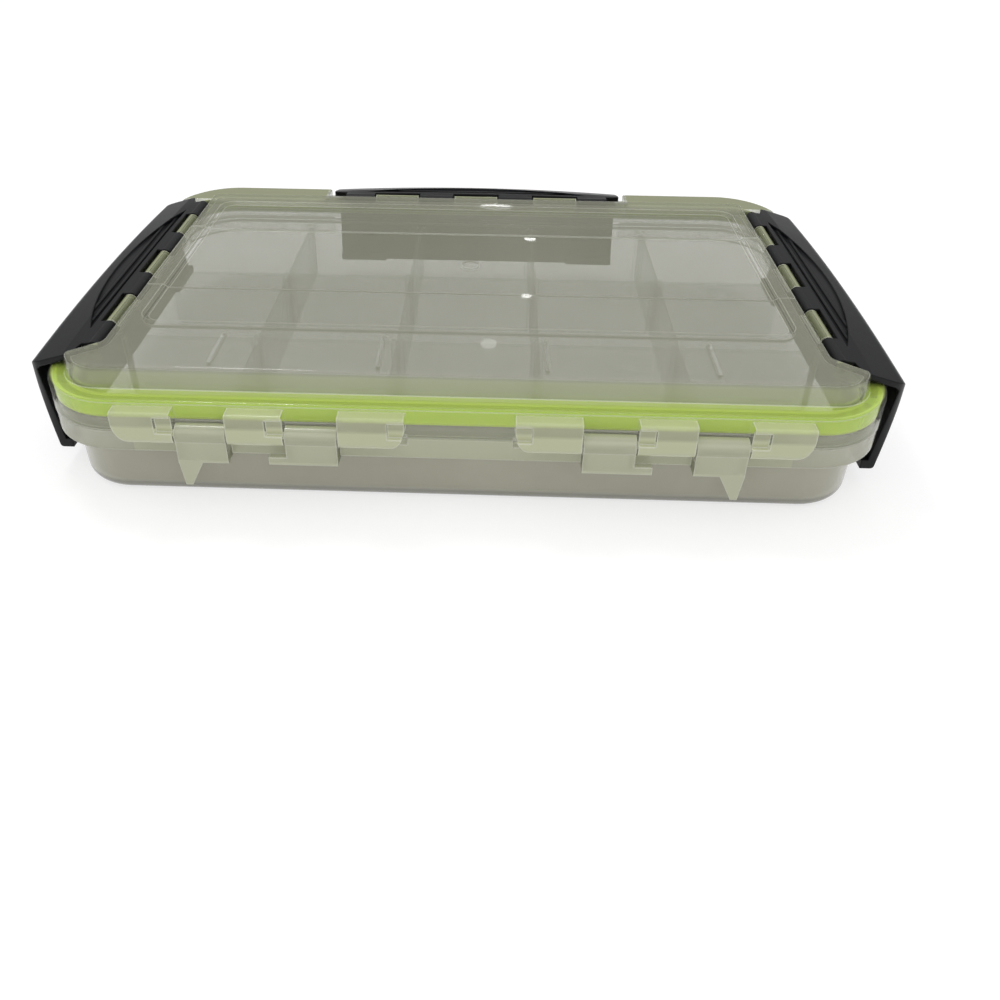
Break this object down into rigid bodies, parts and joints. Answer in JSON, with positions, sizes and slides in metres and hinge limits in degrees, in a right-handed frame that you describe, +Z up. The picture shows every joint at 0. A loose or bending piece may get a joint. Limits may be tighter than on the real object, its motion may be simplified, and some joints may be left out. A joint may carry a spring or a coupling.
{
  "type": "tackle box",
  "caption": "Flat clear tackle tray with compartments, loose dividers, a hinged lid with a lime rubber seal and black hook latches on its other sides.",
  "frame": {"origin": "on the table, under the middle of the whole closed box", "axes": "+X along the hinge side, +Y from the hinge side to the opposite latch, +Z up"},
  "size_m": [0.277, 0.183, 0.0458],
  "materials": {
    "tray_plastic": "smooth, slightly milky clear plastic",
    "lid_plastic": "smooth, slightly milky clear plastic",
    "divider_plastic": "smooth, slightly milky clear plastic",
    "seal_rubber": "soft satin lime-green rubber",
    "latch_plastic": "glossy black plastic",
    "pin_plastic": "dark satin plastic rod"
  },
  "bodies": {
    "tray": {"base_tray": "tray_plastic", "lid_hinge_pin_left": "pin_plastic", "lid_hinge_pin_right": "pin_plastic", "divider_front_1": "divider_plastic", "divider_front_2": "divider_plastic", "divider_front_3": "divider_plastic", "divider_front_4": "divider_plastic", "divider_middle_1": "divider_plastic", "divider_middle_2": "divider_plastic", "divider_middle_3": "divider_plastic", "divider_middle_4": "divider_plastic", "divider_back_1": "divider_plastic", "divider_back_2": "divider_plastic", "divider_back_3": "divider_plastic", "divider_back_4": "divider_plastic"},
    "lid": {"lid": "lid_plastic", "seal_gasket": "seal_rubber", "latch_pin_left": "pin_plastic", "latch_pin_right": "pin_plastic", "latch_pin_back": "pin_plastic"},
    "latch_left": {"latch_left": "latch_plastic"},
    "latch_right": {"latch_right": "latch_plastic"},
    "latch_back": {"latch_back": "latch_plastic"}
  },
  "joints": [
    {"name": "lid_hinge", "type": "hinge", "parent": "tray", "child": "lid", "pos_m": [0, -0.0882, 0.0288], "axis": [1, 0, 0], "range_deg": [0, 110]},
    {"name": "latch_left_hinge", "type": "hinge", "parent": "lid", "child": "latch_left", "pos_m": [-0.1185, -0.001, 0.0417], "axis": [0, 1, 0], "range_deg": [0, 95]},
    {"name": "latch_right_hinge", "type": "hinge", "parent": "lid", "child": "latch_right", "pos_m": [0.1185, -0.001, 0.0417], "axis": [0, -1, 0], "range_deg": [0, 95]},
    {"name": "latch_back_hinge", "type": "hinge", "parent": "lid", "child": "latch_back", "pos_m": [0, 0.0715, 0.0417], "axis": [1, 0, 0], "range_deg": [0, 95]}
  ]
}
